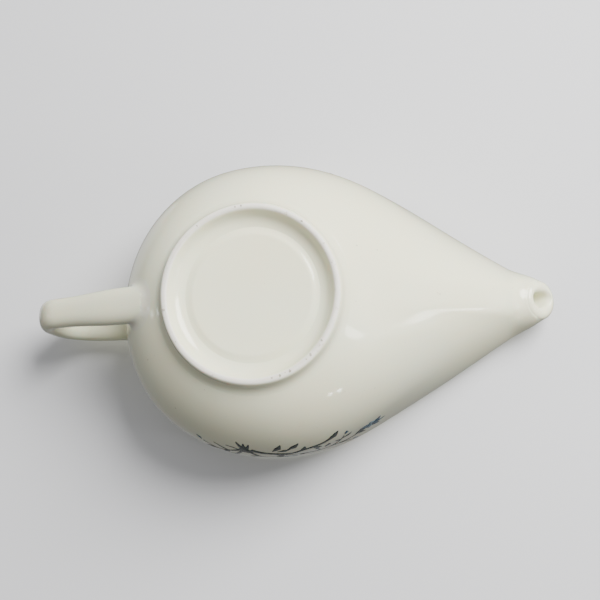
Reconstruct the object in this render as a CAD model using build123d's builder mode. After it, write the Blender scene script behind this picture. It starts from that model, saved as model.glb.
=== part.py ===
"""Porcelain cream jug of the spouted feeding-cup type, upright.

Origin: centre of the foot ring's resting plane.  +Z up, +X towards the spout, so the
handle is at -X and the XZ plane is the plane of symmetry.  Millimetres.
"""
from build123d import *
from math import cos, pi, radians, sin, sqrt
import os

# ---- driving dimensions ----
RIM_Z = 52.0            # height of the rim above the table
BOWL_R = 46.8           # greatest radius of the bowl
BELLY_Z = 34.0          # height where the bowl's side first stands upright
WALL = 3.0              # wall of the casting
BASE_R = 28.0           # radius of the bowl where it meets the foot ring
FOOT_H = 4.0            # height of the foot ring
FLOOR_Z = 7.2           # inside floor
FOOT_OUT_R = 26.9       # foot ring, outside, at the table
FOOT_IN_R = 24.4        # foot ring, inside, at the table
CREST_R = 0.9           # rounding of the foot's crest
RECESS_R = 17.0         # flat of the recess inside the foot ring
COVE_Z = 3.5            # height that steers the cove between the crest and the flat

NOSE_X = 88.0           # foremost point of the teardrop plan, cut off for the nozzle
NOSE_R = 6.2            # its radius
NOSE_SHARE = 0.15       # share of the front outline's parameter that runs round the nose
NOSE_INSET = 1.6        # how much more than the wall the hollow's nose stays behind
FLANK_ANGLE = 29.0      # each flank of the spout to the plane of symmetry, degrees
SIDE_LEAD = 0.32       # how far the widest part runs straight on, share of the front's length
FLANK_LEAD = 0.43       # how far back each flank is straight, the same
KEEL_Z = 52.0           # height where the keel reaches the nose
KEEL_START = 0.8        # how fast the keel leaves the foot; it ends upright

MOUTH_X = 8.0           # edge of the hood: the mouth is open behind it
SPOUT_X = 36.0          # where the closed spout begins
RIM_OUT_R = 1.7         # rounding of the rim and roof, outside
RIM_IN_R = 1.1          # rounding of the mouth's inside edge
MOUTH_R = 43.3          # the mouth: its rim leans in a little over the wall
MOUTH_CORNER_R = 3.0    # plan rounding where the hood's edge meets the rim
HOOD_T = 3.0            # thickness of the hood
HOOD_BACK_X = 4.5       # the hood is parted from the bowl here, behind the mouth's corners

TIP_JOINT_X = 77.3      # where the nozzle is joined to the spout
NOZZLE_R = 6.0          # nozzle tube, outside
NOZZLE_Z = 44.6         # height of the nozzle's axis at the joint
NOZZLE_TURN = 45.0      # the nozzle bends down by this much, degrees
NOZZLE_BEND_R = 7.0     # bend of the nozzle's axis
NOZZLE_TIP_LEN = 2.4    # straight length behind the pouring hole
BEAD_R = 1.5            # bead round the nozzle's mouth
BEAD_PROUD = 0.4        # how far the bead stands out
HOLE_R = 2.2            # pouring hole
CHANNEL_END_X = 74.0    # the hollow of the spout stops here and the hole takes over

STRAP_W = 11.4          # handle strap, across
STRAP_T = 6.4           # handle strap, thickness
STRAP_R = 9.5           # bends of the handle
HANDLE_LOW = (-33.0, 10.5)         # corners of the strap's axis, x and z
HANDLE_OUT_LOW = (-76.4, 27.5)
HANDLE_OUT_HIGH = (-72.5, 45.8)
HANDLE_HIGH = (-43.0, 45.8)
LUTE = 1.1              # how far the slip fillets stand out round the strap
LUTE_LEN = 2.6          # and how far they reach along it, each way

PRINT_T = 0.08          # thickness of the printed transfer
PRINT_GAP = 0.05        # its clearance from the wall it is fired onto
PRINT_LOW_Z, PRINT_HIGH_Z = 27.0, 47.0
PRINT_BACK_X, PRINT_FRONT_X = -32.0, 34.0

SIDE_POINTS = 14        # points along each half of a slice
BIG = 200.0             # larger than the jug, for cutting shapes

os.makedirs("parts", exist_ok=True)


# ---- the body's form: horizontal slices between a round base and a teardrop plan ----
def bezier(p0, p1, p2, p3, t):
    a, b, c, d = (1 - t) ** 3, 3 * t * (1 - t) ** 2, 3 * t * t * (1 - t), t ** 3
    return tuple(a * p0[i] + b * p1[i] + c * p2[i] + d * p3[i] for i in (0, 1))


def plan_front(t, inset):
    """Front half of the teardrop: t = 0 at the bowl's widest point, 1 at the nose."""
    radius = BOWL_R - inset
    nose_r = NOSE_R - inset / 2
    centre_x = NOSE_X - NOSE_INSET * inset - nose_r
    turn = radians(90 - FLANK_ANGLE)
    meet = (centre_x + nose_r * cos(turn), nose_r * sin(turn))
    if t >= 1 - NOSE_SHARE:
        angle = turn * (1 - t) / NOSE_SHARE
        return centre_x + nose_r * cos(angle), nose_r * sin(angle)
    lead = FLANK_LEAD * meet[0]
    slope = radians(FLANK_ANGLE)
    after_side = (SIDE_LEAD * meet[0], radius)
    before_meet = (meet[0] - lead * cos(slope), meet[1] + lead * sin(slope))
    return bezier((0, radius), after_side, before_meet, meet, t / (1 - NOSE_SHARE))


def bowl_growth(z):
    """0 at the foot, 1 where the side stands upright: a circular arc in profile."""
    if z >= BELLY_Z:
        return 1.0
    out = BOWL_R - BASE_R
    rise = BELLY_Z - FOOT_H
    arc_r = (out ** 2 + rise ** 2) / (2 * out)
    return (out - arc_r + sqrt(arc_r ** 2 - (BELLY_Z - z) ** 2)) / out


def keel_growth(z):
    """0 at the foot, 1 at KEEL_Z, where the keel has turned upright."""
    t = min((z - FOOT_H) / (KEEL_Z - FOOT_H), 1.0)
    return KEEL_START * t + (3 - 2 * KEEL_START) * t ** 2 + (KEEL_START - 2) * t ** 3


def slice_points(z, inset=0.0, lift=0.0):
    """Half outline of the body at height z, from the back round to the nose."""
    base = BASE_R - inset
    round_part = bowl_growth(z - lift)
    keel_part = keel_growth(z - lift)
    points = []
    for i in range(SIDE_POINTS + 1):
        angle = pi - pi / 2 * i / SIDE_POINTS
        radius = base + (BOWL_R - BASE_R) * round_part
        points.append((radius * cos(angle), radius * sin(angle)))
    for i in range(1, SIDE_POINTS + 1):
        t = i / SIDE_POINTS
        angle = pi / 2 * (1 - t)
        share = sin(pi / 2 * t) ** 2
        grow = (1 - share) * round_part + share * keel_part
        far = plan_front(t, inset)
        x = (1 - grow) * base * cos(angle) + grow * far[0]
        y = (1 - grow) * base * sin(angle) + grow * far[1]
        points.append((x, y))
    return points


def body_slices(heights, inset=0.0, lift=0.0):
    for z in heights:
        half = slice_points(z, inset, lift)
        other = [(x, -y) for x, y in reversed(half[1:-1])]
        with BuildSketch(Plane.XY.offset(z)) as sketch:
            with BuildLine():
                Spline(*half, *other, periodic=True)
            make_face()
        yield sketch.sketch


def side_box(x0, x1, z0, z1):
    """A box across the whole width between two x and two z stations."""
    return Pos((x0 + x1) / 2, 0, (z0 + z1) / 2) * Box(x1 - x0, BIG, z1 - z0, mode=Mode.PRIVATE)


OUTER_HEIGHTS = (FOOT_H, 6, 9, 13, 18, 24, 30, 36, 42, 47, RIM_Z)
INNER_HEIGHTS = (FLOOR_Z, 9, 12, 16, 21, 27, 33, 39, 44, 49, RIM_Z + 1)

with BuildPart() as outer_form:
    for face in body_slices(OUTER_HEIGHTS):
        add(face)
    loft()

with BuildPart() as inner_form:
    for face in body_slices(INNER_HEIGHTS, inset=WALL, lift=FLOOR_Z - FOOT_H):
        add(face)
    loft()


# ---- the hollow, with a flat ceiling, and the mouth cut down into it ----
CEILING_Z = RIM_Z - HOOD_T
with BuildPart() as hollow:
    add(inner_form.part)
    add(side_box(CHANNEL_END_X, BIG, 0, BIG), mode=Mode.SUBTRACT)
    add(side_box(-BIG, BIG, CEILING_Z, BIG), mode=Mode.SUBTRACT)

with BuildPart() as mouth_cut:
    with BuildSketch(Plane.XY.offset(CEILING_Z - 1)) as mouth_plan:
        Circle(MOUTH_R)
        with Locations((MOUTH_X + BOWL_R, 0)):
            Rectangle(2 * BOWL_R, 3 * BOWL_R, mode=Mode.SUBTRACT)
        fillet(mouth_plan.vertices(), MOUTH_CORNER_R)
    extrude(amount=HOOD_T + 2)

# ---- the whole casting in one, with its rims rounded ----
with BuildPart() as casting:
    add(outer_form.part)
    add(side_box(TIP_JOINT_X, BIG, 0, BIG), mode=Mode.SUBTRACT)
    top_edges = casting.edges().filter_by_position(Axis.Z, RIM_Z - 0.01, RIM_Z + 0.01)
    fillet(top_edges.filter_by_position(Axis.X, -BIG, TIP_JOINT_X - 0.01), RIM_OUT_R)
    add(hollow.part, mode=Mode.SUBTRACT)
    before_mouth = casting.edges()
    add(mouth_cut.part, mode=Mode.SUBTRACT)
    mouth_edges = (casting.edges() - before_mouth).filter_by_position(Axis.Z, RIM_Z - 0.01, RIM_Z + 0.01)
    fillet(mouth_edges, RIM_IN_R)

# ---- parted into hood, bowl and spout, which meet face to face ----
with BuildPart() as hood:
    add(casting.part)
    add(side_box(HOOD_BACK_X, SPOUT_X, CEILING_Z, BIG), mode=Mode.INTERSECT)

with BuildPart() as bowl:
    add(casting.part)
    add(side_box(SPOUT_X, BIG, 0, BIG), mode=Mode.SUBTRACT)
    add(hood.part, mode=Mode.SUBTRACT)

hole_bore = Pos(CHANNEL_END_X, 0, NOZZLE_Z) * Rot(0, 90, 0) * Cylinder(
    HOLE_R, 2 * (TIP_JOINT_X - CHANNEL_END_X), mode=Mode.PRIVATE
)
with BuildPart() as spout:
    add(casting.part)
    add(side_box(-BIG, SPOUT_X, 0, BIG), mode=Mode.SUBTRACT)
    add(hole_bore, mode=Mode.SUBTRACT)

# ---- foot ring: a rounded crest, a coved inside ----
with BuildPart() as foot_ring:
    with BuildSketch(Plane.XZ):
        with BuildLine():
            outside = Line((BASE_R - 0.1, FOOT_H), (FOOT_OUT_R, CREST_R))
            outer_round = RadiusArc(outside @ 1, (FOOT_OUT_R - CREST_R, 0), CREST_R)
            crest = Line(outer_round @ 1, (FOOT_IN_R + CREST_R, 0))
            inner_round = RadiusArc(crest @ 1, (FOOT_IN_R, CREST_R), CREST_R)
            cove = Bezier(
                inner_round @ 1, (FOOT_IN_R - 0.4, COVE_Z), (FOOT_IN_R - 3.5, COVE_Z), (RECESS_R, FOOT_H)
            )
            Line(cove @ 1, outside @ 0)
        make_face()
    revolve(axis=Axis.Z)

# ---- nozzle: a short bent tube with a beaded mouth ----
turn = radians(NOZZLE_TURN)
mouth_dir = Vector(cos(turn), 0, -sin(turn))
bend_end = Vector(
    TIP_JOINT_X + NOZZLE_BEND_R * sin(turn), 0, NOZZLE_Z - NOZZLE_BEND_R * (1 - cos(turn))
)
mouth = bend_end + mouth_dir * NOZZLE_TIP_LEN


def bent_tube(radius):
    """A round bar of this radius along the nozzle's axis."""
    with BuildPart() as bar:
        with BuildLine(Plane.XZ) as path:
            bend = RadiusArc((TIP_JOINT_X, NOZZLE_Z), (bend_end.X, bend_end.Z), NOZZLE_BEND_R)
            Line(bend @ 1, (mouth.X, mouth.Z))
        with BuildSketch(Plane.YZ.offset(TIP_JOINT_X)):
            with Locations((0, NOZZLE_Z)):
                Circle(radius)
        sweep(path=path.line)
    return bar.part


nozzle_bar = bent_tube(NOZZLE_R)
nozzle_bore = bent_tube(HOLE_R)
bead_centre = mouth - mouth_dir * BEAD_R
bead = Plane(origin=bead_centre, z_dir=mouth_dir) * Torus(
    NOZZLE_R - BEAD_R + BEAD_PROUD, BEAD_R, mode=Mode.PRIVATE
)
with BuildPart() as nozzle:
    add(nozzle_bar)
    mouth_edge = nozzle.edges().filter_by(GeomType.CIRCLE).sort_by(Axis.X)[-1]
    fillet(mouth_edge, BEAD_R)
    add(bead)
    add(nozzle_bore, mode=Mode.SUBTRACT)

# ---- handle: one strap of oval section, bent to an ear and luted to the bowl ----
with BuildPart() as handle:
    with BuildLine(Plane.XZ) as strap_path:
        FilletPolyline(HANDLE_LOW, HANDLE_OUT_LOW, HANDLE_OUT_HIGH, HANDLE_HIGH, radius=STRAP_R)
    strap_start = strap_path.line @ 0
    with BuildSketch(Plane(origin=strap_start, x_dir=(0, 1, 0), z_dir=strap_path.line % 0)):
        Ellipse(STRAP_W / 2, STRAP_T / 2)
    sweep(path=strap_path.line)
    add(outer_form.part, mode=Mode.SUBTRACT)


def slip_fillet(end, towards):
    """A flared collar of slip round the strap where it meets the bowl."""
    run = Vector(towards[0] - end[0], 0, towards[1] - end[1]).normalized()
    start = Vector(end[0], 0, end[1])
    wall_at = start
    while outer_form.part.is_inside(wall_at):
        wall_at = wall_at + run * 0.25
    with BuildPart() as collar:
        for along, grow in ((-LUTE_LEN, 2 * LUTE), (LUTE_LEN, 0.15)):
            with BuildSketch(Plane(origin=wall_at + run * along, x_dir=(0, 1, 0), z_dir=run)):
                Ellipse(STRAP_W / 2 + grow, STRAP_T / 2 + grow)
        loft()
        add(outer_form.part, mode=Mode.SUBTRACT)
        add(handle.part, mode=Mode.SUBTRACT)
    return collar.part


handle_joint_lower = slip_fillet(HANDLE_LOW, HANDLE_OUT_LOW)
handle_joint_upper = slip_fillet(HANDLE_HIGH, HANDLE_OUT_HIGH)

# ---- printed transfers on the two side walls ----
with BuildPart() as print_skin:
    for face in body_slices(OUTER_HEIGHTS, inset=-PRINT_GAP - PRINT_T):
        add(face)
    loft()
with BuildPart() as print_core:
    for face in body_slices(OUTER_HEIGHTS, inset=-PRINT_GAP):
        add(face)
    loft()


def transfer(side):
    """side is 1 for +Y, -1 for -Y."""
    width = PRINT_FRONT_X - PRINT_BACK_X
    height = PRINT_HIGH_Z - PRINT_LOW_Z
    with BuildPart() as sheet:
        add(print_skin.part)
        add(print_core.part, mode=Mode.SUBTRACT)
        centre = (PRINT_BACK_X + width / 2, side * BOWL_R, PRINT_LOW_Z + height / 2)
        with Locations(centre):
            Box(width, BOWL_R * 1.6, height, mode=Mode.INTERSECT)
    return sheet.part


decal_left = transfer(1)
decal_right = transfer(-1)

pieces = {
    "bowl": bowl.part,
    "foot_ring": foot_ring.part,
    "spout": spout.part,
    "nozzle": nozzle.part,
    "hood": hood.part,
    "handle": handle.part,
    "handle_joint_lower": handle_joint_lower,
    "handle_joint_upper": handle_joint_upper,
    "decal_left": decal_left,
    "decal_right": decal_right,
}
for name, piece in pieces.items():
    piece.label = name
    export_step(piece, f"parts/{name}.step")
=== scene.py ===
"""Looks of the porcelain cream jug: glazed casting, foot ring, nozzle, handle and sprays.

The jug stands upright in the row frame, spout towards +X.  The main camera looks at its
underside, from below, so the jug rests rim down against a pale table top that only a
camera below can see; views from above see a pale floor under the foot ring instead.
Shape functions work in millimetres; add_piece() turns them into metres.
"""
from bisect import bisect_left
from cmath import phase, rect
from math import atan2, cos, exp, hypot, pi, radians, sin, sqrt, tanh
from random import Random

import bpy
import bmesh
from mathutils import Matrix, Vector
from mathutils.bvhtree import BVHTree


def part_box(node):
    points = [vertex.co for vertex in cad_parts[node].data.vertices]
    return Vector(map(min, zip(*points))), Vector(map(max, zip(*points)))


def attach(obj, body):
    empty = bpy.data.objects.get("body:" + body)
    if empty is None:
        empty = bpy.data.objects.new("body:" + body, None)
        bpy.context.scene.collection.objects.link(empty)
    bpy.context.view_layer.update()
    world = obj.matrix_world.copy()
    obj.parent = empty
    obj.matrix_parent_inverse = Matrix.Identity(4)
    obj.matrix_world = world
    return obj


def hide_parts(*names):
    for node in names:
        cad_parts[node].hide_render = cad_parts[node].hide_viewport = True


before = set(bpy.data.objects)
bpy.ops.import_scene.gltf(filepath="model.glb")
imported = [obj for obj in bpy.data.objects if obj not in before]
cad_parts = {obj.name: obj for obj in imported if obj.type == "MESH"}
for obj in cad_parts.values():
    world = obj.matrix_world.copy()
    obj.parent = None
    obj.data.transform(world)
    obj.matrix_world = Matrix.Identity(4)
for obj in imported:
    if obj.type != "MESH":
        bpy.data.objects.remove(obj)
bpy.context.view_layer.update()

MM = 0.001


def cad(node, end, axis):
    """A CAD node's lowest (0) or highest (1) corner along an axis, in millimetres."""
    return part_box(node)[end]["xyz".index(axis)] / MM


# ---- sizes from the frame ----
RIM_Z = cad("bowl", 1, "z")
BOWL_R = cad("bowl", 1, "y")
FOOT_H = cad("bowl", 0, "z")
TIP_JOINT_X = cad("spout", 1, "x")
STRAP_W = cad("handle", 1, "y") - cad("handle", 0, "y")
CEILING_Z = cad("hood", 0, "z")

# ---- the same form as the CAD: a round base under a teardrop plan ----
WALL = 3.0
BASE_R = 28.0
BELLY_Z = 34.0
FLOOR_Z = 7.2
NOSE_X, NOSE_R, NOSE_SHARE, NOSE_INSET = 88.0, 6.2, 0.15, 1.6
FLANK_ANGLE, SIDE_LEAD, FLANK_LEAD = 29.0, 0.32, 0.43
KEEL_START = 0.8
MOUTH_X, MOUTH_R, MOUTH_CORNER_R = 8.0, 43.3, 3.0
NOZZLE_Z, NOZZLE_BEND_R, NOZZLE_TURN = 44.6, 7.0, 45.0
HOLE_R, NOZZLE_OUT_R = 2.2, 6.22
STRAP_T, HANDLE_BEND_R, HANDLE_SLIM, HANDLE_THINNING, HANDLE_LEAN = 6.4, 9.5, 0.17, 0.05, 1.2
HANDLE_CORNERS = [(-33.4, 10.66), (-75.4, 27.1), (-71.6, 45.8), (-44.6, 45.8)]

WEAR_MARKS = [
    # x, y and size of each chip in the foot ring's crest
    (-3.9, -25.6, 0.8), (-2.1, -25.8, 0.7), (15.8, -20.2, 0.9), (-15.4, -20.6, 0.6), (20.9, 14.6, 0.7),
    (17.6, 18.6, 1.0), (16.4, 19.8, 0.5), (11.6, 22.9, 0.9), (10.2, 23.4, 0.5), (8.7, 24.2, 0.8),
    (6.3, 24.8, 0.7), (-25.6, 3.9, 0.8), (-22.0, 13.4, 0.4), (24.4, -7.6, 0.4),
]

# ---- finish that only the looks have ----
SHOULDER_R, SHOULDER_NOSE_R = 1.5, 3.0     # rounding of the roof's edge, at the mouth and at the nozzle
ROOF_DROP, ROOF_DOME = 1.4, 1.1            # fall of the roof's crown to the nozzle, and of its sides
LIP_R = 1.3
FOOT_RUN_UP_Z = 4.75                       # the glaze outside the foot ring lands on the bowl here
BARE_BELOW_Z, GLAZED_ABOVE_Z = 0.12, 0.4   # the glaze of the foot ring stops between these heights
FLOOR_SAG = 0.8                            # the base inside the foot ring sags by this much
NOSE_START_X, NOSE_SOFT = 73.0, 6.4        # the nose is blunted from here over this length
CAVITY_START_X, CAVITY_SOFT = 66.0, 7.5    # and the hollow inside it likewise
SLIP_REACH, SLIP_CLIMB = 2.8, 3.4          # the slip's spread over the casting and along the strap
SLIP_SINK = 0.02                           # it starts this far inside the strap's skin
# the channel from the hollow to the nozzle's hole, and its radius
BORE_FROM_X, BORE_TO_X, BORE_R = 66.0, 82.0, HOLE_R + 0.1


def smooth(t):
    """Eased step: 0 up to t = 0, 1 from t = 1."""
    t = min(max(t, 0.0), 1.0)
    return t * t * (3 - 2 * t)


def mix(a, b, t):
    return tuple(p + (q - p) * t for p, q in zip(a, b))


def bezier(p0, p1, p2, p3, t):
    """Point at share t of a cubic curve."""
    a, b, c, d = (1 - t) ** 3, 3 * t * (1 - t) ** 2, 3 * t * t * (1 - t), t ** 3
    return tuple(a * w + b * x + c * y + d * z for w, x, y, z in zip(p0, p1, p2, p3))


# ---- body form ----
def plan_front(t, inset):
    """Point of the belly's half outline from the side (t = 0) to the nose (t = 1)."""
    radius = BOWL_R - inset
    nose_r = NOSE_R - inset / 2
    centre_x = NOSE_X - NOSE_INSET * inset - nose_r
    turn = radians(90 - FLANK_ANGLE)
    meet = (centre_x + nose_r * cos(turn), nose_r * sin(turn))
    if t >= 1 - NOSE_SHARE:
        angle = turn * (1 - t) / NOSE_SHARE
        return centre_x + nose_r * cos(angle), nose_r * sin(angle)
    lead = FLANK_LEAD * meet[0]
    slope = radians(FLANK_ANGLE)
    before_meet = (meet[0] - lead * cos(slope), meet[1] + lead * sin(slope))
    return bezier((0, radius), (SIDE_LEAD * meet[0], radius), before_meet, meet, t / (1 - NOSE_SHARE))


def plan_table(inset, count=600):
    """Points of plan_front and the length run to each."""
    points = [plan_front(i / count, inset) for i in range(count + 1)]
    run = [0.0]
    for a, b in zip(points, points[1:]):
        run.append(run[-1] + hypot(b[0] - a[0], b[1] - a[1]))
    return points, run


PLANS = {inset: plan_table(inset) for inset in (0.0, WALL)}


def plan_even(u, inset, window=0.15):
    """The same outline with its speed evened over a short stretch, so blended slices have no crease."""
    points, run = PLANS[inset]
    count = len(run) - 1

    def length(t):
        if t < 0:
            return -length(-t)
        if t > 1:
            return 2 * run[-1] - length(2 - t)
        return run[round(t * count)]

    goal = sum(length(u + window * (k / 20 - 1)) for k in range(41)) / 41
    index = min(max(bisect_left(run, goal), 1), count)
    share = (goal - run[index - 1]) / (run[index] - run[index - 1])
    return mix(points[index - 1], points[index], share)


def bowl_growth(z):
    """How far the round part has swelled at height z, from 0 at the foot to 1 at the belly."""
    if z >= BELLY_Z:
        return 1.0
    out = BOWL_R - BASE_R
    rise = BELLY_Z - FOOT_H
    arc_r = (out ** 2 + rise ** 2) / (2 * out)
    return (out - arc_r + sqrt(arc_r ** 2 - (BELLY_Z - z) ** 2)) / out


def keel_growth(z):
    """The same for the line under the spout, which keeps growing up to the rim."""
    t = min((z - FOOT_H) / (RIM_Z - FOOT_H), 1.0)
    return KEEL_START * t + (3 - 2 * KEEL_START) * t ** 2 + (KEEL_START - 2) * t ** 3


def blunted(x, start, soft):
    """x, held back beyond start so that it never passes start + soft."""
    return x if x < start else start + soft * tanh((x - start) / soft)


def wall_point(u, z, inside=False):
    """(x, y) of the wall at height z; u is -1 at the back, 0 at the side, 1 at the nose."""
    inset, lift = (WALL, FLOOR_Z - FOOT_H) if inside else (0.0, 0.0)
    start, soft = (CAVITY_START_X, CAVITY_SOFT) if inside else (NOSE_START_X, NOSE_SOFT)
    base = BASE_R - inset
    angle = pi / 2 * (1 - u)
    round_part = bowl_growth(z - lift)
    if u <= 0:
        radius = base + (BOWL_R - BASE_R) * round_part
        return radius * cos(angle), radius * sin(angle)
    share = sin(pi / 2 * u) ** 2
    grow = (1 - share) * round_part + share * keel_growth(z - lift)
    far = plan_even(u, inset)
    x = (1 - grow) * base * cos(angle) + grow * far[0]
    y = (1 - grow) * base * sin(angle) + grow * far[1]
    return blunted(x, start, soft), y


BACK_COLUMNS, FRONT_COLUMNS = 30, 60
COLUMNS = [i / BACK_COLUMNS - 1 for i in range(BACK_COLUMNS)]
COLUMNS += [i / FRONT_COLUMNS for i in range(FRONT_COLUMNS + 1)]


def half_normals(half):
    """Outward plan normals of a half outline that starts and ends on the plane of symmetry."""
    full = [(half[1][0], -half[1][1])] + half + [(half[-2][0], -half[-2][1])]
    normals = []
    for before, after in zip(full, full[2:]):
        tx, ty = after[0] - before[0], after[1] - before[1]
        size = hypot(tx, ty)
        normals.append((-ty / size, tx / size))
    return normals


def eased(line, last, passes):
    """Relaxes the last points of a half outline that ends on the plane of symmetry."""
    line = list(line)
    for _ in range(passes):
        full = line + [(line[-2][0], -line[-2][1])]
        for k in range(len(line) - last, len(line)):
            trio = zip(full[k - 1], full[k], full[k + 1])
            line[k] = tuple(0.25 * a + 0.5 * b + 0.25 * c for a, b, c in trio)
    return line


def roof_z(x, y, half_width):
    """Height of the top: level round the mouth, then falling and domed over the spout."""
    share = smooth((x - MOUTH_X) / (TIP_JOINT_X - MOUTH_X))
    dome = ROOF_DOME * smooth((x - MOUTH_X) / 35)
    return RIM_Z - ROOF_DROP * share - dome * min(abs(y) / max(half_width, 1), 1) ** 2


def mouth_half_line():
    """Half of the mouth's outline, a point for each column: rear arc, round corner, straight hood edge."""
    corner_x = MOUTH_X - MOUTH_CORNER_R
    corner = (corner_x, sqrt((MOUTH_R - MOUTH_CORNER_R) ** 2 - corner_x ** 2))
    corner_angle = pi / 2 - (pi / 2) * corner[0] / hypot(*corner) * 0.64
    arc_length = MOUTH_CORNER_R * corner_angle
    line = []
    rear = [u for u in COLUMNS if wall_point(u, RIM_Z)[0] < corner[0] + 0.4]
    for u in rear:
        x, y = wall_point(u, RIM_Z)
        size = hypot(x, y)
        line.append((x * MOUTH_R / size, y * MOUTH_R / size))
    front = len(COLUMNS) - len(rear)
    total = arc_length + corner[1]
    for i in range(1, front + 1):
        run = total * i / front
        if run < arc_length:
            angle = corner_angle - run / MOUTH_CORNER_R
            line.append((corner[0] + MOUTH_CORNER_R * cos(angle), corner[1] + MOUTH_CORNER_R * sin(angle)))
        else:
            line.append((MOUTH_X, corner[1] - (run - arc_length)))
    return line


def casting_rings():
    """Half rings from the underside, up the wall, over the top, into the mouth and down to the floor."""
    outline = [wall_point(u, RIM_Z) for u in COLUMNS]
    normals = half_normals(outline)
    shoulder = [SHOULDER_R + (SHOULDER_NOSE_R - SHOULDER_R) * smooth((x - MOUTH_X) / 62) for x, y in outline]
    inner_edge = [(p[0] - n[0] * r, p[1] - n[1] * r) for p, n, r in zip(outline, normals, shoulder)]
    inner_edge = eased(inner_edge, last=22, passes=40)

    def top_z(x, y):
        for a, b in zip(inner_edge[BACK_COLUMNS:], inner_edge[BACK_COLUMNS + 1:]):
            if a[0] <= x <= b[0]:
                share = (x - a[0]) / (b[0] - a[0])
                return roof_z(x, y, a[1] + (b[1] - a[1]) * share)
        return roof_z(x, y, BOWL_R if x < MOUTH_X else inner_edge[-2][1])

    edge_z = [top_z(*p) for p in inner_edge]
    wall_top = [z - r for z, r in zip(edge_z, shoulder)]
    rings = []
    for radius in (2.2, 7, 11.8, 14.6, 15.3, 15.8, 16.2, 16.6, 17.0, 17.4, 17.8, 18.2, 18.7, 20.4, 24.5):
        sag = FLOOR_SAG * (1 - smooth((radius - 17.6) / 3.2))
        share = radius / BASE_R
        wall_foot = [wall_point(u, FOOT_H) for u in COLUMNS]
        rings.append([(x * share, y * share, FOOT_H - sag) for x, y in wall_foot])
    wall_rows = 40
    for i in range(wall_rows + 1):
        ring = []
        for u, top in zip(COLUMNS, wall_top):
            z = FOOT_H + (top - FOOT_H) * i / wall_rows
            ring.append((*wall_point(u, z), z))
        rings.append(ring)
    shoulder_rows = 7
    for i in range(1, shoulder_rows + 1):
        ring = []
        for k, u in enumerate(COLUMNS):
            n, r, z = normals[k], shoulder[k], edge_z[k]
            foot = wall_point(u, wall_top[k])
            top = inner_edge[k]
            lean = (foot[0] - top[0], foot[1] - top[1])
            before = (top[0] + 0.55 * lean[0], top[1] + 0.55 * lean[1])
            slope = z - top_z(top[0] + n[0] * 0.3, top[1] + n[1] * 0.3)
            ring.append(bezier((*foot, z - r), (*foot, z - 0.45 * r), (*before, z - slope * 0.55 * r / 0.3),
                               (*top, z), i / shoulder_rows))
        rings.append(ring)
    mouth = mouth_half_line()
    mouth_normals = half_normals(mouth)
    lip_line = [(p[0] + n[0] * LIP_R, p[1] + n[1] * LIP_R) for p, n in zip(mouth, mouth_normals)]
    top_rows = 18
    for i in range(1, top_rows + 1):
        flat = [mix(a, b, i / top_rows) for a, b in zip(inner_edge, lip_line)]
        rings.append([(*p, top_z(*p)) for p in flat])
    lip_rows = 6
    for i in range(1, lip_rows + 1):
        angle = pi / 2 * i / lip_rows
        out, down = LIP_R * (1 - sin(angle)), LIP_R * (1 - cos(angle))
        pairs = zip(mouth, mouth_normals)
        rings.append([(p[0] + n[0] * out, p[1] + n[1] * out, RIM_Z - down) for p, n in pairs])
    rings += under_rings(mouth, top_z)
    return rings


def under_rings(mouth, top_z):
    """From the mouth's edge under the hood's ceiling and down the inside wall to the floor."""
    thick = RIM_Z - CEILING_Z
    steps = []
    for u, edge in zip(COLUMNS, mouth):
        near = wall_point(u, CEILING_Z - 4, inside=True)
        run = hypot(near[0] - edge[0], near[1] - edge[1])
        roll, cove = min(LIP_R, 0.3 * run), min(4.0, 0.4 * run)
        start_z = CEILING_Z - 1.2 - cove
        wall = wall_point(u, start_z, inside=True)
        span = hypot(wall[0] - edge[0], wall[1] - edge[1])
        steps.append((edge, wall, span, roll, cove, start_z))
    rings = []
    roll_rows, run_rows, cove_rows, wall_rows = 5, 12, 7, 26

    for i in range(1, roll_rows + 1):
        angle = pi / 2 * i / roll_rows
        ring = []
        for edge, wall, span, roll, cove, start_z in steps:
            x, y = mix(edge, wall, roll * (1 - cos(angle)) / span)
            ring.append((x, y, CEILING_Z + roll * (1 - sin(angle)) + 0.3 - 0.3 * i / roll_rows))
        rings.append(ring)
    for i in range(1, run_rows + 1):
        ring = []
        for edge, wall, span, roll, cove, start_z in steps:
            x, y = mix(edge, wall, (roll + (span - roll - cove) * i / run_rows) / span)
            ring.append((x, y, top_z(x, y) - thick - 0.6 * i / run_rows))
        rings.append(ring)
    for i in range(1, cove_rows + 1):
        angle = pi / 2 * i / cove_rows
        ring = []
        for edge, wall, span, roll, cove, start_z in steps:
            x, y = mix(edge, wall, (span - cove * (1 - sin(angle))) / span)
            ceiling = top_z(*mix(edge, wall, (span - cove) / span)) - thick - 0.6
            ring.append((x, y, ceiling + (start_z - ceiling) * (1 - cos(angle)) - 0.02 * i))
        rings.append(ring)
    for i in range(1, wall_rows + 1):
        ring = []
        for u, (*_, start_z) in zip(COLUMNS, steps):
            z = start_z - 0.2 + (FLOOR_Z - start_z + 0.2) * i / wall_rows
            ring.append((*wall_point(u, z, inside=True), z))
        rings.append(ring)
    for share in (0.94, 0.86, 0.75, 0.6, 0.42, 0.25, 0.08):
        dip = 1.25 * (1 - share ** 8)
        wall_foot = [wall_point(u, FLOOR_Z, inside=True) for u in COLUMNS]
        rings.append([(x * share, y * share, FLOOR_Z - dip) for x, y in wall_foot])
    return rings


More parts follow.
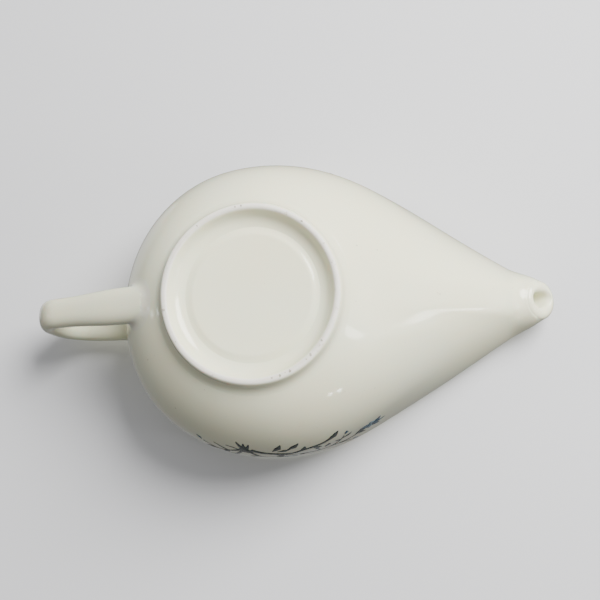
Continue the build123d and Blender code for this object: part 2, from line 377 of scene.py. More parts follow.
def fired(point):
    """The slight slump of a hand-finished casting: nothing at the foot, up to a millimetre above."""
    x, y, z = point
    lift = smooth((z - FOOT_H) / 22)
    shift = 0.6 * exp(-((x + 5) / 24) ** 2) - 0.95 * exp(-((x - 38) / 17) ** 2)
    squeeze = 1 - 0.017 * exp(-((x - 2) / 18) ** 2)
    corner = exp(-(((x + 34) / 20) ** 2 + ((y - 26) / 20) ** 2))
    return (x - 0.9 * corner * lift, y * (1 + (squeeze - 1) * lift) + (shift + 0.7 * corner) * lift, z)


# ---- mesh helpers ----
def loft(rings, ends):
    """Points and quads between closed rings of equal length.

    ends is "loop" to join the last ring to the first, or "caps" to close both with a fan.
    """
    width = len(rings[0])
    points = [p for ring in rings for p in ring]
    faces = []
    pairs = list(zip(range(len(rings) - 1), range(1, len(rings))))
    if ends == "loop":
        pairs.append((len(rings) - 1, 0))
    for a, b in pairs:
        for k in range(width):
            n = (k + 1) % width
            faces.append((a * width + k, a * width + n, b * width + n, b * width + k))
    if ends == "caps":
        for ring, first in ((0, 0), (len(rings) - 1, (len(rings) - 1) * width)):
            middle = tuple(sum(p[i] for p in rings[ring]) / width for i in range(3))
            points.append(middle)
            for k in range(width):
                faces.append((first + k, first + (k + 1) % width, len(points) - 1))
    return points, faces


def outward_mesh(name, points, faces):
    """A mesh of points in millimetres whose faces all look outwards."""
    mesh = bpy.data.meshes.new(name)
    mesh.from_pydata([Vector(p) * MM for p in points], [], faces)
    build = bmesh.new()
    build.from_mesh(mesh)
    bmesh.ops.recalc_face_normals(build, faces=build.faces)
    build.to_mesh(mesh)
    build.free()
    return mesh


def add_piece(name, points, faces, material, replaces, slot):
    """A smooth closed mesh that rides on the jug's one body and stands for CAD nodes."""
    mesh = outward_mesh(name, points, faces)
    mesh.shade_smooth()
    mesh.materials.append(material)
    piece = bpy.data.objects.new(name, mesh)
    bpy.context.scene.collection.objects.link(piece)
    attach(piece, "root")
    if replaces:
        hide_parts(*replaces)
    return piece


def mirrored(half):
    """The whole ring whose first half is given, from one end on the plane of symmetry to the other."""
    return half + [(x, -y, z) for x, y, z in reversed(half[1:-1])]


def drill(piece, start, stop, radius):
    """Cuts a round hole along X, from start to stop, at the nozzle's height."""
    sides = 48
    turns = [2 * pi * k / sides for k in range(sides)]
    rings = [[(x, radius * cos(a), NOZZLE_Z + radius * sin(a)) for a in turns] for x in (start, stop)]
    cutter = bpy.data.objects.new("drill", outward_mesh("drill", *loft(rings, "caps")))
    bpy.context.scene.collection.objects.link(cutter)
    cut = piece.modifiers.new("drill", "BOOLEAN")
    cut.operation, cut.solver, cut.object = "DIFFERENCE", "EXACT", cutter
    bpy.context.view_layer.update()
    shown = piece.evaluated_get(bpy.context.evaluated_depsgraph_get())
    finished = bpy.data.meshes.new_from_object(shown)
    piece.modifiers.clear()
    piece.data = finished
    bpy.data.objects.remove(cutter)


# ---- pieces that land on the casting ----
class Casting:
    """The casting's skin, to find where other pieces meet it (millimetres)."""

    def __init__(self, piece):
        points = [v.co / MM for v in piece.data.vertices]
        self.tree = BVHTree.FromPolygons(points, [list(f.vertices) for f in piece.data.polygons])

    def along(self, start, direction):
        """First point met from start, and the normal there."""
        hit, normal, _, _ = self.tree.ray_cast(Vector(start), Vector(direction))
        return hit, normal

    def nearest(self, point):
        """The skin's point nearest to a point, and the normal there."""
        hit, normal, _, _ = self.tree.find_nearest(Vector(point))
        return hit, normal


def strap_tube(end, beyond, half_wide, half_deep):
    """The strap's skin near one end, as a function of distance from the end, angle and growth outwards."""
    end, heading = complex(*end), complex(*beyond) - complex(*end)
    heading /= abs(heading)

    def point(d, angle, grow=0.0):
        return Vector(strap_spot(end + d * heading, heading, half_wide + grow, half_deep + grow, angle))
    return point


def flare(skin, tube, reach, climb=None, upto=None, tail=1.0, hollow=0.42, over=0.0, turns=72):
    """Closed ring of slip or glaze that eases a tube into the casting.

    It spreads by reach over the casting and runs up the tube by climb from where the tube
    enters, or to the distance upto along the tube. A smaller hollow makes it fuller.
    tail scales how far it runs on inside the tube, and over how far it laps onto the tube's
    rounded lip, fully at angle pi and not at all at angle 0.
    """
    far, near, stride = 16.0, -4.0, 0.25       # where along the tube its entry is looked for
    lap_along, lap_in = 1.25, 0.41             # how a lap of 1 follows the lip's rounding
    curve_steps = 14
    sections = []
    for i in range(turns):
        angle = 2 * pi * i / turns
        d = far
        while d > near:
            here, there = tube(d, angle), tube(d - stride, angle)
            hit, _, _, gap = skin.tree.ray_cast(here, there - here)
            if hit and gap <= (there - here).length:
                break
            d -= stride
        top = d + climb if upto is None else upto
        edge = tube(top, angle)
        down = (tube(top - 0.2, angle) - edge).normalized()
        away = (tube(top, angle, 1.0) - edge).normalized()
        lap = over * smooth(0.7 - 0.7 * cos(angle))
        start = tube(top + lap_along * lap, angle, -lap_in * lap)
        slope = (down + lap * away).normalized()
        run_on = tail * (1 - lap)
        meet = tube(d, angle)
        level = (tube(d, angle, 1.0) - meet).normalized()
        land, normal = skin.nearest(meet + reach * (0.8 * level + 0.6 * down))
        spread = land - meet
        spread = (spread - spread.dot(normal) * normal).normalized()
        pull = hollow * (start - land).length
        curve = (start + 0.015 * away, start + pull * slope, land - pull * spread, land + 0.012 * normal)
        section = [bezier(*curve, t / curve_steps) for t in range(curve_steps + 1)]
        section += [tuple(land + 0.4 * spread - 0.03 * normal), tuple(land + 0.8 * spread - 0.12 * normal),
                    tuple(land + 0.8 * spread - 0.6 * normal), tuple(meet - 1.0 * normal),
                    tuple(start - 1.2 * away + 0.6 * down), tuple(start - 0.4 * away - 1.1 * run_on * down),
                    tuple(start - 0.09 * away - 1.2 * run_on * down),
                    tuple(start - 0.02 * away - 0.7 * run_on * down)]
        sections.append(section)
    return loft(sections, "loop")


def rounded_path(corners, radius, step=1.2):
    """(point, heading) pairs along straight runs joined by arcs, as complex x + zj."""
    legs = [complex(*c) for c in corners]
    path, place = [], legs[0]
    for before, corner, after in zip(legs, legs[1:], legs[2:]):
        into = (corner - before) / abs(corner - before)
        away = (after - corner) / abs(after - corner)
        turn = phase(away / into)
        side = abs(turn) / turn
        bend = corner - into * radius * side * sin(turn / 2) / cos(turn / 2)
        hub = bend + 1j * into * radius * side
        runs = max(2, round(abs(bend - place) / step))
        bends = round(abs(turn) * radius / step) + 3
        path += [(place + (bend - place) * k / runs, into) for k in range(runs)]
        for k in range(bends):
            spin = rect(1, turn * k / bends)
            path.append((hub + (bend - hub) * spin, into * spin))
        place = hub + (bend - hub) * rect(1, turn)
    runs = round(abs(legs[-1] - place) / step)
    return path + [(place + (legs[-1] - place) * k / runs, away) for k in range(runs + 1)]


def handle_mesh():
    """Flattened oval strap along the handle's line, slimmer at the outer bends, ends inside the casting."""
    path = rounded_path(HANDLE_CORNERS, HANDLE_BEND_R)
    total = sum(abs(b[0] - a[0]) for a, b in zip(path, path[1:]))
    sides = 48
    rings, run = [], 0.0
    for index, (place, heading) in enumerate(path):
        run += abs(place - path[max(index - 1, 0)][0])
        slim = smooth((min(run, total - run) - 12) / 22)
        half_w = STRAP_W / 2 * (1 - HANDLE_SLIM * slim)
        half_t = STRAP_T / 2 * (1 - HANDLE_THINNING * slim)
        rings.append([strap_spot(place, heading, half_w, half_t, 2 * pi * k / sides) for k in range(sides)])
    return loft(rings, "caps")


def squared(angle, power=0.84):
    """cos and sin of an angle on a slightly squared circle."""
    return tuple(abs(v) ** power * (1 if v > 0 else -1) for v in (cos(angle), sin(angle)))


def strap_spot(place, heading, half_w, half_t, angle):
    """Point of the strap's oval section at a place of its line; the upper strap leans to +Y."""
    across, out = squared(angle)
    spot = place + 1j * heading * half_t * out
    lean = HANDLE_LEAN * smooth((place.imag - 24) / 20)
    return spot.real, half_w * across + lean, spot.imag


def foot_ring_mesh(skin):
    """Turned foot ring: flat crest, a run of glaze up to the bowl outside, a wide cove inside."""
    cove = [(17.6, 4.3), (18.2, 4.09), (18.9, 4.02), (19.8, 3.94), (20.9, 3.76), (22.0, 3.42),
            (22.9, 2.95), (23.6, 2.3), (24.1, 1.5), (24.42, 0.9), (24.72, 0.4), (25.1, 0.1)]
    crest = [(25.35, 0.0), (25.7, 0.0), (26.0, 0.02)]
    outside = [(26.4, 0.16), (26.75, 0.48), (26.92, 0.9), (27.05, 1.5), (27.2, 2.1)]
    up = Vector((0, 0, 1))
    turns, run_up_steps = 144, 8
    sections = []
    for i in range(turns):
        angle = 2 * pi * i / turns
        way = Vector((cos(angle), sin(angle), 0))
        wobble = 0.1 * sin(2 * angle + 0.6) + 0.06 * sin(5 * angle + 2)
        section = [tuple((r + wobble * 0.6) * way + z * up) for r, z in cove + crest]
        section += [tuple((r + wobble) * way + z * up) for r, z in outside]
        land, normal = skin.along((0, 0, FOOT_RUN_UP_Z), way)
        climb = (up - normal.z * normal).normalized()
        start = Vector(section[-1])
        run_up = (start, start + 1.1 * (way * 0.12 + up), land - 1.3 * climb, land + 0.02 * normal)
        section += [bezier(*run_up, t / run_up_steps) for t in range(1, run_up_steps + 1)]
        section += [tuple(land + 0.4 * climb - 0.03 * normal), tuple(land + 0.8 * climb - 0.12 * normal),
                    tuple(land + 0.8 * climb - 0.5 * normal), tuple(20 * way + Vector((0, 0, 5.1)))]
        sections.append(section)
    return loft(sections, "loop")


def wear_mesh():
    """Small chips and grit marks on the bare crest, each a thin closed flake."""
    chance = Random(7)
    corners = 9
    points, faces = [], []
    for x, y, size in WEAR_MARKS:
        turn = chance.uniform(0, 2 * pi)
        rim = [(size / 2 * chance.uniform(0.55, 1.25), turn + 2 * pi * k / corners) for k in range(corners)]
        rings = [[(x + r * grow * cos(a), y + r * grow * sin(a), z) for r, a in rim]
                 for z, grow in ((-0.012, 0.7), (0.004, 1.0), (0.12, 1.0))]
        flake_points, flake_faces = loft(rings, "caps")
        faces += [tuple(len(points) + i for i in face) for face in flake_faces]
        points += flake_points
    return points, faces


def nozzle_point(s, r, angle):
    """Point at distance s along the bent nozzle's line and r from it."""
    arc = NOZZLE_BEND_R * radians(NOZZLE_TURN)
    turn = min(max(s, 0), arc) / NOZZLE_BEND_R
    x = TIP_JOINT_X + NOZZLE_BEND_R * sin(turn) + min(s, 0)
    z = NOZZLE_Z - NOZZLE_BEND_R * (1 - cos(turn))
    past = max(s - arc, 0)
    x, z = x + past * cos(turn), z - past * sin(turn)
    up = r * cos(angle)
    return Vector((x + up * sin(turn), r * sin(angle), z + up * cos(turn)))


def nozzle_blend_mesh(skin):
    """Glaze that eases the spout into the nozzle and laps onto the top of its rounded lip."""

    def tube(d, angle, grow=0.0):
        return nozzle_point(d, NOZZLE_OUT_R + grow, angle)
    return flare(skin, tube, 7.8, upto=6.0, tail=0.35, hollow=0.3, over=1.0)


def nozzle_mesh():
    """Drawn nozzle: outside from the spout to the rounded lip, then back down the pouring hole."""
    outside = [(-3.2, 5.6), (-1.5, 5.8), (0.4, 5.95), (2.2, 6.05), (3.6, 6.12), (4.6, 6.18), (5.4, 6.22)]
    lip = [(6.1, 6.24), (6.7, 6.14), (7.2, 5.86), (7.6, 5.42), (7.9, 4.85), (8.02, 4.3), (8.0, 3.7),
           (7.86, 3.2), (7.6, 2.78), (7.2, 2.48), (6.6, 2.28)]
    hole = [(s, HOLE_R) for s in (5.5, 3, 0.5, -1.5, -3.3)]
    sides, stretch = 64, 0.34
    rings = []
    for s, r in outside + lip + hole:
        worn = smooth((s - 4.0) / 3) * (1 - smooth((r - 2.6) / 1.7))    # the hole's edge is worn oval
        ring = []
        for k in range(sides):
            angle = 2 * pi * k / sides
            long, wide = (1 + worn * stretch * (1 - sin(angle))) * cos(angle), sin(angle)
            ring.append(nozzle_point(s, r * hypot(long, wide), atan2(wide, long)))
        rings.append(ring)
    return loft(rings, "loop")


# ---- painted sprays ----
BRUSH_WEIGHT = 1.28                        # every stroke is this much wider than its listed width
THINNEST = 0.06
# section of a ribbon: side of its middle line, and height over the casting's skin
RIBBON = [(1, -0.05), (1, 0.045), (0, 0.06), (-1, 0.045), (-1, -0.05)]


class Brush:
    """Collects thin closed strokes of one colour that lie on one side of the casting."""

    def __init__(self, skin, side):
        self.skin, self.side = skin, side
        self.points, self.faces = [], []

    def spot(self, x, z):
        """Where the wall is seen at (x, z) from well outside this side, and its normal."""
        return self.skin.along((x, self.side * 200, z), (0, -self.side, 0))

    def add(self, points, faces):
        first = len(self.points)
        self.points += points
        self.faces += [tuple(first + i for i in face) for face in faces]

    def stroke(self, knots, widths):
        """A ribbon through (x, z) knots; widths are its full width at start, middle and end."""
        line = smooth_line(knots)
        places = []
        for x, z in line:
            hit, normal = self.spot(x, z)
            if hit:
                places.append((hit, normal))
        rings = []
        for i, (hit, normal) in enumerate(places):
            before, after = places[max(i - 1, 0)][0], places[min(i + 1, len(places) - 1)][0]
            across = (after - before).cross(normal).normalized()
            t = i / (len(places) - 1)
            if t < 0.5:
                width = widths[0] + (widths[1] - widths[0]) * t * 2
            else:
                width = widths[1] + (widths[2] - widths[1]) * (2 * t - 1)
            half = BRUSH_WEIGHT * max(width, THINNEST) / 2
            rings.append([tuple(hit + across * half * side + normal * lift) for side, lift in RIBBON])
        self.add(*loft(rings, "caps"))

    def leaf(self, x, z, heading, length, width):
        """A pointed leaf or petal from (x, z); heading in degrees from +X towards +Z."""
        dx, dz = cos(radians(heading)), sin(radians(heading))
        bend = 0.08 * length
        knots = [(x, z), (x + dx * length * 0.5 - dz * bend, z + dz * length * 0.5 + dx * bend),
                 (x + dx * length, z + dz * length)]
        self.stroke(knots, (0.12, width, 0.08))


def smooth_line(knots, step=0.35):
    """Catmull-Rom points through the knots, about a third of a millimetre apart."""
    pts = [knots[0]] + list(knots) + [knots[-1]]
    line = []
    for a, b, c, d in zip(pts, pts[1:], pts[2:], pts[3:]):
        count = max(2, round(hypot(c[0] - b[0], c[1] - b[1]) / step))
        for i in range(count):
            t = i / count
            line.append(tuple(0.5 * (2 * q + (r - p) * t + (2 * p - 5 * q + 4 * r - s) * t * t
                                     + (3 * q - p - 3 * r + s) * t ** 3) for p, q, r, s in zip(a, b, c, d)))
    return line + [knots[-1]]


INK_STROKES = [
    # knots (x, z) of each stroke, then its widths
    ([(-7.2, 23.4), (-8.2, 20.8), (-8.9, 18.4)], (1.5, 1.0, 0.2)),
    ([(-7.2, 23.4), (-7.1, 21.2), (-6.8, 19.0)], (1.5, 1.0, 0.2)),
    ([(-7.2, 23.4), (-6.0, 21.4), (-5.2, 19.4)], (1.4, 0.9, 0.2)),
    ([(-8.0, 22.4), (-7.0, 24.2), (-5.8, 25.8)], (1.2, 2.8, 1.2)),
    ([(-7.2, 21.6), (-9.4, 24.1), (-12.9, 26.5), (-16.4, 27.6), (-18.4, 26.2), (-20.4, 24.2)],
     (0.9, 0.7, 0.3)),
    ([(-12.9, 26.5), (-14.8, 24.3), (-16.7, 22.2)], (0.7, 0.6, 0.2)),
    ([(-9.0, 23.8), (-11.0, 22.4), (-12.9, 21.9)], (0.5, 0.45, 0.2)),
    ([(-8.4, 24.4), (-11.6, 30.5), (-16.0, 35.0), (-21.0, 37.0)], (0.8, 0.6, 0.3)),
    ([(-5.4, 23.2), (-2.7, 25.4), (0.2, 27.0), (3.8, 28.6), (6.6, 29.6), (9.6, 28.6), (13.4, 28.3),
      (16.2, 28.2), (18.5, 27.2), (20.7, 25.3)], (1.6, 1.4, 1.1)),
    ([(17.2, 28.0), (19.4, 26.8), (21.3, 24.7)], (0.8, 1.9, 0.3)),
    ([(-6.0, 25.0), (-4.6, 29.6), (-3.4, 34.6), (-1.4, 39.4), (1.6, 43.0)], (1.0, 0.9, 0.4)),
    ([(0.2, 27.0), (4.4, 31.6), (8.2, 37.0), (12.4, 40.6), (17.4, 40.4), (19.6, 42.2), (22.4, 45.4)],
     (0.9, 0.7, 0.3)),
    ([(12.4, 40.6), (13.6, 37.2), (13.4, 34.4)], (0.6, 0.5, 0.2)),
    ([(16.4, 40.4), (19.9, 36.4), (22.3, 31.0)], (0.6, 0.6, 0.2)),
    ([(17.4, 40.4), (21.0, 41.6), (24.0, 40.6), (28.2, 38.8)], (0.9, 0.8, 0.7)),
]
INK_LEAVES = [
    # x, z, heading, length, width
    (1.0, 24.6, -52, 5.4, 1.7), (2.4, 25.2, -8, 4.4, 1.5), (5.6, 24.6, -36, 5.0, 1.7),
    (3.0, 29.8, 100, 5.0, 1.8), (9.0, 28.8, -60, 4.0, 1.4), (13.2, 28.4, 62, 4.4, 1.6),
    (15.4, 36.0, -64, 4.8, 1.6), (24.4, 39.8, -52, 5.0, 1.9), (25.4, 38.6, 62, 4.6, 1.7),
    (21.0, 34.0, -28, 4.0, 1.5), (-12.6, 26.8, 120, 4.2, 1.5), (-16.4, 27.8, 160, 4.4, 1.4),
    (-14.2, 33.6, 70, 4.6, 1.6), (-17.6, 35.8, -130, 4.2, 1.5), (-4.2, 31.0, 140, 4.6, 1.7),
    (-2.6, 36.4, 20, 4.8, 1.7), (20.4, 35.6, -110, 3.6, 1.3), (10.2, 38.6, 150, 4.0, 1.5),
]
FLOWERS = [
    # x, z, size, petals, turn
    (30.0, 38.2, 4.2, 7, 10), (-22.8, 37.6, 3.4, 6, 30), (2.4, 43.6, 3.0, 6, 0),
]
BUDS = [
    # x, z, heading, length, width
    (23.0, 45.6, 60, 3.0, 1.3), (-20.8, 23.8, -120, 2.4, 1.0), (13.4, 34.2, -90, 2.4, 1.1),
    (22.6, 30.6, -70, 2.6, 1.2),
]
STEM_COLOUR = (0.014, 0.022, 0.017)
PETAL_COLOUR = (0.014, 0.045, 0.075)
SOFT_PETAL_COLOUR = (0.10, 0.16, 0.19)


def paint_spray(name, side, node, skin):
    """One flower spray: dark stems and leaves, deep blue petals and softer grey-blue ones."""
    stem, petal, soft = Brush(skin, side), Brush(skin, side), Brush(skin, side)

    def place(x, z):
        """The spot as listed, or on the back the same spot mirrored, smaller and higher."""
        top = 48.5
        return (x, z) if side > 0 else (1.5 - 0.86 * x, top - 0.68 * (top - z))

    def turned(heading):
        return heading if side > 0 else 180 - heading

    for knots, widths in INK_STROKES:
        stem.stroke([place(*k) for k in knots], widths)
    for x, z, heading, length, width in INK_LEAVES:
        stem.leaf(*place(x, z), turned(heading), length, width)
    for x, z, size, petals, turn in FLOWERS:
        for i in range(petals):
            heading = turn + 360 * i / petals
            brush, reach, wide = (soft, 0.8, 0.5) if i % 3 == 2 else (petal, 1.0, 0.42)
            brush.leaf(*place(x, z), turned(heading), size * reach, size * wide)
    for x, z, heading, length, width in BUDS:
        petal.leaf(*place(x, z), turned(heading), length, width)
    for ending, brush, colour, nodes in (("_stems", stem, STEM_COLOUR, [node]),
                                         ("_petals", petal, PETAL_COLOUR, []),
                                         ("_soft_petals", soft, SOFT_PETAL_COLOUR, [])):
        material = print_material(name + ending, colour)
        add_piece(name + ending, brush.points, brush.faces, material, nodes, "print")


# ---- materials ----
class Shader:
    """Small helper that chains nodes into a Principled material."""

    def __init__(self, name):
        self.material = bpy.data.materials.new(name)
        self.material.use_nodes = True
        self.tree = self.material.node_tree
        self.surface = self.tree.nodes["Principled BSDF"]
        self.place = self.tree.nodes.new("ShaderNodeTexCoord").outputs["Object"]

    def set(self, **values):
        """Plain values of Principled inputs, named with _ for each space."""
        for socket, value in values.items():
            self.surface.inputs[socket.replace("_", " ")].default_value = value

    def noise(self, scale, detail=2.0, rough=0.5):
        """Noise from 0 to 1; scale is in waves per metre, as objects are in metres."""
        node = self.tree.nodes.new("ShaderNodeTexNoise")
        node.inputs["Scale"].default_value = scale
        node.inputs["Detail"].default_value = detail
        node.inputs["Roughness"].default_value = rough
        self.tree.links.new(self.place, node.inputs["Vector"])
        return node.outputs["Fac"]

    def ramp(self, factor, *stops):
        """Colour ramp; stops are (position, colour)."""
        node = self.tree.nodes.new("ShaderNodeValToRGB")
        elements = node.color_ramp.elements
        while len(elements) < len(stops):
            elements.new(0.5)
        for element, (position, colour) in zip(elements, stops):
            element.position = position
            element.color = (*colour, 1)
        self.tree.links.new(factor, node.inputs["Fac"])
        return node.outputs["Color"]

    def blend(self, factor, a, b):
        """Colour a where the factor is 0 and b where it is 1; b is a socket or a plain colour."""
        node = self.tree.nodes.new("ShaderNodeMix")
        node.data_type = "RGBA"
        factor_in, a_in, b_in, colour_out = node.inputs[0], node.inputs[6], node.inputs[7], node.outputs[2]
        self.tree.links.new(factor, factor_in)
        self.tree.links.new(a, a_in)
        if isinstance(b, tuple):
            b_in.default_value = (*b, 1)
        else:
            self.tree.links.new(b, b_in)
        return colour_out

    def fit(self, value, low, high, to_low, to_high):
        """The value moved from the range low to high into the range to_low to to_high."""
        node = self.tree.nodes.new("ShaderNodeMapRange")
        sockets = ("From Min", "From Max", "To Min", "To Max")
        for socket, number in zip(sockets, (low, high, to_low, to_high)):
            node.inputs[socket].default_value = number
        self.tree.links.new(value, node.inputs["Value"])
        return node.outputs["Result"]

    def link(self, output, socket):
        self.tree.links.new(output, self.surface.inputs[socket])

    def bump(self, height, strength, distance):
        """Surface relief; distance in metres."""
        node = self.tree.nodes.new("ShaderNodeBump")
        node.inputs["Strength"].default_value = strength
        node.inputs["Distance"].default_value = distance
        self.tree.links.new(height, node.inputs["Height"])
        self.link(node.outputs["Normal"], "Normal")


IVORY = (0.815, 0.815, 0.605)
IVORY_WARM = (0.83, 0.81, 0.588)
IVORY_COOL = (0.795, 0.81, 0.625)
SPECK = (0.36, 0.31, 0.22)
GLASS_IOR = 1.5
PORCELAIN = {"IOR": GLASS_IOR, "Subsurface_Weight": 0.12, "Subsurface_Scale": 0.0016}


def ivory_drift(shader):
    """Slow change between cooler and warmer ivory."""
    return shader.ramp(shader.noise(28, 3), (0.32, IVORY_COOL), (0.5, IVORY), (0.7, IVORY_WARM))


def glaze_material():
    """Clear glaze over ivory porcelain: slow colour drift, faint ripple, pin specks."""
    shader = Shader("glaze")
    drift = ivory_drift(shader)
    specks = shader.fit(shader.noise(900, 1, 0.3), 0.78, 0.84, 0.0, 0.45)
    shader.link(shader.blend(specks, drift, SPECK), "Base Color")
    shader.link(shader.fit(shader.noise(60, 3), 0.3, 0.7, 0.07, 0.13), "Roughness")
    shader.bump(shader.noise(75, 2), 0.35, 0.00018)
    shader.set(**PORCELAIN)
    return shader.material


def foot_material():
    """Glaze that stops short of the crest, which is bare, slightly stained biscuit."""
    shader = Shader("foot")
    split = shader.tree.nodes.new("ShaderNodeSeparateXYZ")
    shader.tree.links.new(shader.place, split.inputs[0])
    bare = shader.fit(split.outputs["Z"], BARE_BELOW_Z * MM, GLAZED_ABOVE_Z * MM, 1, 0)
    drift = ivory_drift(shader)
    stain = shader.ramp(shader.noise(420, 4, 0.6), (0.28, (0.45, 0.41, 0.33)), (0.36, (0.80, 0.775, 0.69)),
                        (0.8, (0.85, 0.83, 0.75)))
    shader.link(shader.blend(bare, drift, stain), "Base Color")
    shader.link(shader.fit(bare, 0, 1, 0.1, 0.62), "Roughness")
    shader.bump(shader.noise(160, 3), 0.35, 0.00012)
    shader.set(**PORCELAIN)
    return shader.material


def wear_material():
    """Grey-brown grit in the chips of the crest."""
    shader = Shader("wear")
    grit = shader.ramp(shader.noise(700, 3), (0.3, (0.30, 0.28, 0.21)), (0.7, (0.52, 0.49, 0.40)))
    shader.link(grit, "Base Color")
    shader.link(shader.fit(shader.noise(300, 2), 0.3, 0.7, 0.6, 0.85), "Roughness")
    shader.set(IOR=GLASS_IOR)
    return shader.material


def slip_material(name):
    """Glaze pooled over the slip that joins the handle."""
    shader = Shader(name)
    pooled = shader.ramp(shader.noise(90, 3), (0.3, IVORY_COOL), (0.7, (0.80, 0.765, 0.655)))
    shader.link(pooled, "Base Color")
    shader.link(shader.fit(shader.noise(120, 3), 0.3, 0.7, 0.06, 0.12), "Roughness")
    shader.bump(shader.noise(160, 2), 0.4, 0.0002)
    shader.set(**PORCELAIN)
    return shader.material


def print_material(name, colour):
    """Transfer colour fused under a thin glaze, a little uneven."""
    shader = Shader(name)
    thin = tuple(min(1, c * 1.9 + 0.01) for c in colour)
    shader.link(shader.ramp(shader.noise(520, 4, 0.6), (0.35, colour), (0.72, thin)), "Base Color")
    shader.link(shader.fit(shader.noise(300, 2), 0.3, 0.7, 0.16, 0.3), "Roughness")
    shader.bump(shader.noise(600, 2), 0.3, 0.00004)
    shader.set(IOR=GLASS_IOR)
    return shader.material


# ---- camera and stage ----
CAMERA_AT = Vector((72.23, 50.68, -320.26))
CAMERA_AIM = Vector((11.31, -0.21, 20.0))
CAMERA_UP = Vector((0.0444, -0.9892, -0.1400))
LENS_MM, SENSOR_MM = 69.0, 36.0


def add_camera():
    """The main camera, below the jug and looking up at its foot."""
    data = bpy.data.cameras.new("camera")
    data.lens, data.sensor_width = LENS_MM, SENSOR_MM
    data.clip_start, data.clip_end = 0.01, 20
    camera = bpy.data.objects.new("camera", data)
    back = (CAMERA_AT - CAMERA_AIM).normalized()
    right = CAMERA_UP.cross(back).normalized()
    up = back.cross(right)
    turn = Matrix((right, up, back)).transposed().to_4x4()
    camera.matrix_world = Matrix.Translation(CAMERA_AT * MM) @ turn
    bpy.context.scene.collection.objects.link(camera)
    bpy.context.scene.camera = camera


TABLE_COLOUR = (0.62, 0.625, 0.645)
STAGE_HALF = 12.0                          # half the side of each stage plane, in metres
LAMPS_AIM = (0.01, 0, 0.025)
# level of the world's light by direction, from 0 straight down to 1 straight up
ROOM_LEVELS = [(0.0, 0.86), (0.22, 0.62), (0.40, 0.22), (0.5, 0.10), (0.52, 0.08), (1.0, 0.08)]
TABLE_LEVELS = [(0.0, 0.0), (0.5, 0.0), (0.53, 0.22), (1.0, 0.26)]
WORLD_FAR, WORLD_NEAR = 0.05, 1.45         # the room's strength away from the window, and towards it
WINDOW_WAY = (0.15, -0.99, 0)


def one_sided(name, z, faces_up, colour):
    """A big plane that only shows from the side it faces, and only to cameras."""
    side = STAGE_HALF
    corners = [(-side, -side, z), (side, -side, z), (side, side, z), (-side, side, z)]
    mesh = bpy.data.meshes.new(name)
    mesh.from_pydata(corners, [], [(0, 1, 2, 3) if faces_up else (3, 2, 1, 0)])
    material = bpy.data.materials.new(name)
    material.use_nodes = True
    tree = material.node_tree
    surface = tree.nodes["Principled BSDF"]
    surface.inputs["Base Color"].default_value = (*colour, 1)
    surface.inputs["Roughness"].default_value = 0.9
    surface.inputs["Specular IOR Level"].default_value = 0.1
    clear = tree.nodes.new("ShaderNodeBsdfTransparent")
    choose = tree.nodes.new("ShaderNodeMixShader")
    side_of = tree.nodes.new("ShaderNodeNewGeometry")
    tree.links.new(side_of.outputs["Backfacing"], choose.inputs["Fac"])
    tree.links.new(surface.outputs[0], choose.inputs[1])
    tree.links.new(clear.outputs[0], choose.inputs[2])
    tree.links.new(choose.outputs[0], tree.nodes["Material Output"].inputs["Surface"])
    mesh.materials.append(material)
    plane = bpy.data.objects.new(name, mesh)
    plane.visible_diffuse = plane.visible_glossy = plane.visible_transmission = False
    plane.visible_shadow = False
    bpy.context.scene.collection.objects.link(plane)


def area_light(name, at, size, power, colour=(1, 1, 1), glossy=True, long=None):
    """A round soft lamp, or a strip that is long along Y, that faces the jug."""
    data = bpy.data.lights.new(name, "AREA")
    data.shape, data.energy, data.size, data.color = "DISK", power, size, colour
    if long:
        data.shape, data.size_y = "RECTANGLE", long
    lamp = bpy.data.objects.new(name, data)
    lamp.location = at
    away = (Vector(at) - Vector(LAMPS_AIM)).normalized()
    across = Vector((0, 1, 0)).cross(away).normalized()
    turn = Matrix((across, away.cross(across), away)).transposed().to_4x4()
    lamp.matrix_world = Matrix.Translation(at) @ turn
    lamp.visible_glossy = glossy
    bpy.context.scene.collection.objects.link(lamp)


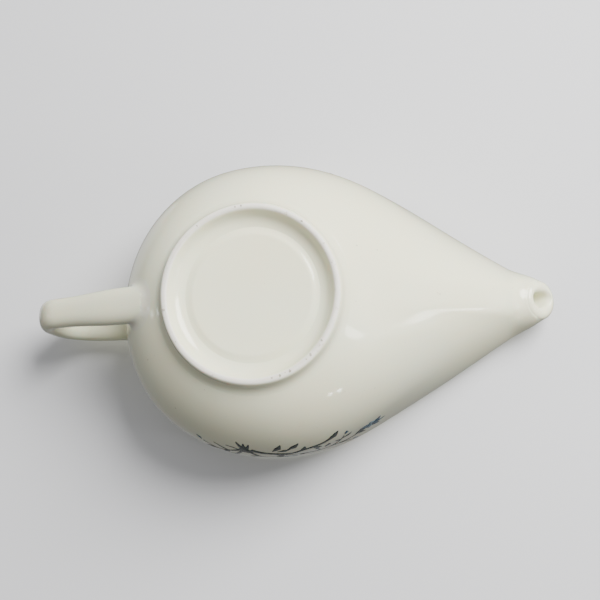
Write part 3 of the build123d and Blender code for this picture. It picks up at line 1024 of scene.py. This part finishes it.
def add_world():
    """A room that lights the jug from below, most on the window's side, and table light from above."""
    world = bpy.data.worlds.new("studio")
    world.use_nodes = True
    tree = world.node_tree
    place = tree.nodes.new("ShaderNodeTexCoord").outputs["Generated"]
    split = tree.nodes.new("ShaderNodeSeparateXYZ")
    tree.links.new(place, split.inputs[0])

    def graded(stops):
        """A level by direction: position 0 is straight down, 0.5 level, 1 straight up."""
        height = tree.nodes.new("ShaderNodeMapRange")
        height.inputs["From Min"].default_value = -1
        tree.links.new(split.outputs["Z"], height.inputs["Value"])
        ramp = tree.nodes.new("ShaderNodeValToRGB")
        tree.links.new(height.outputs["Result"], ramp.inputs["Fac"])
        elements = ramp.color_ramp.elements
        while len(elements) < len(stops):
            elements.new(0.5)
        for element, (position, level) in zip(elements, stops):
            element.position = position
            element.color = (level, level, level, 1)
        return ramp.outputs["Color"]

    toward = tree.nodes.new("ShaderNodeVectorMath")
    toward.operation = "DOT_PRODUCT"
    toward.inputs[1].default_value = WINDOW_WAY
    tree.links.new(place, toward.inputs[0])
    side = tree.nodes.new("ShaderNodeMapRange")
    for socket, number in (("From Min", -1), ("From Max", 1), ("To Min", WORLD_FAR), ("To Max", WORLD_NEAR)):
        side.inputs[socket].default_value = number
    tree.links.new(toward.outputs["Value"], side.inputs["Value"])
    total = tree.nodes.new("ShaderNodeMath")
    total.operation = "MULTIPLY_ADD"
    tree.links.new(graded(ROOM_LEVELS), total.inputs[0])
    tree.links.new(side.outputs["Result"], total.inputs[1])
    tree.links.new(graded(TABLE_LEVELS), total.inputs[2])
    background = tree.nodes["Background"]
    background.inputs["Color"].default_value = (1, 1, 1.01, 1)
    tree.links.new(total.outputs[0], background.inputs["Strength"])
    bpy.context.scene.world = world


add_camera()
add_world()
one_sided("table", RIM_Z * MM, False, TABLE_COLOUR)
one_sided("floor", 0.0, True, TABLE_COLOUR)
area_light("window", (0.42, -0.33, -0.50), 0.5, 16.8, (1.0, 0.99, 0.97))
area_light("ceiling", (-0.1, 0.05, 1.9), 0.9, 34, glossy=False)
area_light("softbox", (-1.0, -0.5, 0.9), 0.8, 1.4)
area_light("strip", (1.06, 0.12, -0.36), 0.14, 0.8, long=0.8)
area_light("lamp_right", (1.04, 0.31, -0.48), 0.16, 1.1)
area_light("lamp_low_a", (0.72, 0.95, -0.04), 0.05, 0.22)
area_light("lamp_low_b", (0.65, 1.00, -0.10), 0.05, 0.22)
area_light("lamp_left", (-1.18, -0.05, -0.18), 0.08, 0.12)

# ---- the casting ----
glaze = glaze_material()
points, faces = loft([mirrored(half) for half in casting_rings()], "caps")
points = [fired(p) for p in points]
casting = add_piece("casting", points, faces, glaze, ["bowl", "hood", "spout"], "glaze")
skin = Casting(casting)     # taken before the bore, so that nothing lands in the hole
drill(casting, BORE_FROM_X, BORE_TO_X, BORE_R)

# ---- foot, nozzle and handle ----
add_piece("foot_ring_turned", *foot_ring_mesh(skin), foot_material(), ["foot_ring"], "foot")
add_piece("foot_wear", *wear_mesh(), wear_material(), [], "foot")
add_piece("nozzle_drawn", *nozzle_mesh(), glaze, ["nozzle"], "glaze")
add_piece("nozzle_blend", *nozzle_blend_mesh(skin), glaze, [], "glaze")
add_piece("handle_strap", *handle_mesh(), glaze, ["handle"], "glaze")
low, out_low, out_high, high = HANDLE_CORNERS
for name, end, beyond, nodes in (("slip_lower", low, out_low, ["handle_joint_lower"]),
                                 ("slip_upper", high, out_high, ["handle_joint_upper"])):
    tube = strap_tube(end, beyond, STRAP_W / 2 - SLIP_SINK, STRAP_T / 2 - SLIP_SINK)
    add_piece(name, *flare(skin, tube, SLIP_REACH, climb=SLIP_CLIMB), slip_material(name), nodes, "slip")

# ---- sprays ----
for name, side, node in (("spray_front", 1, "decal_right"), ("spray_back", -1, "decal_left")):
    paint_spray(name, side, node, skin)
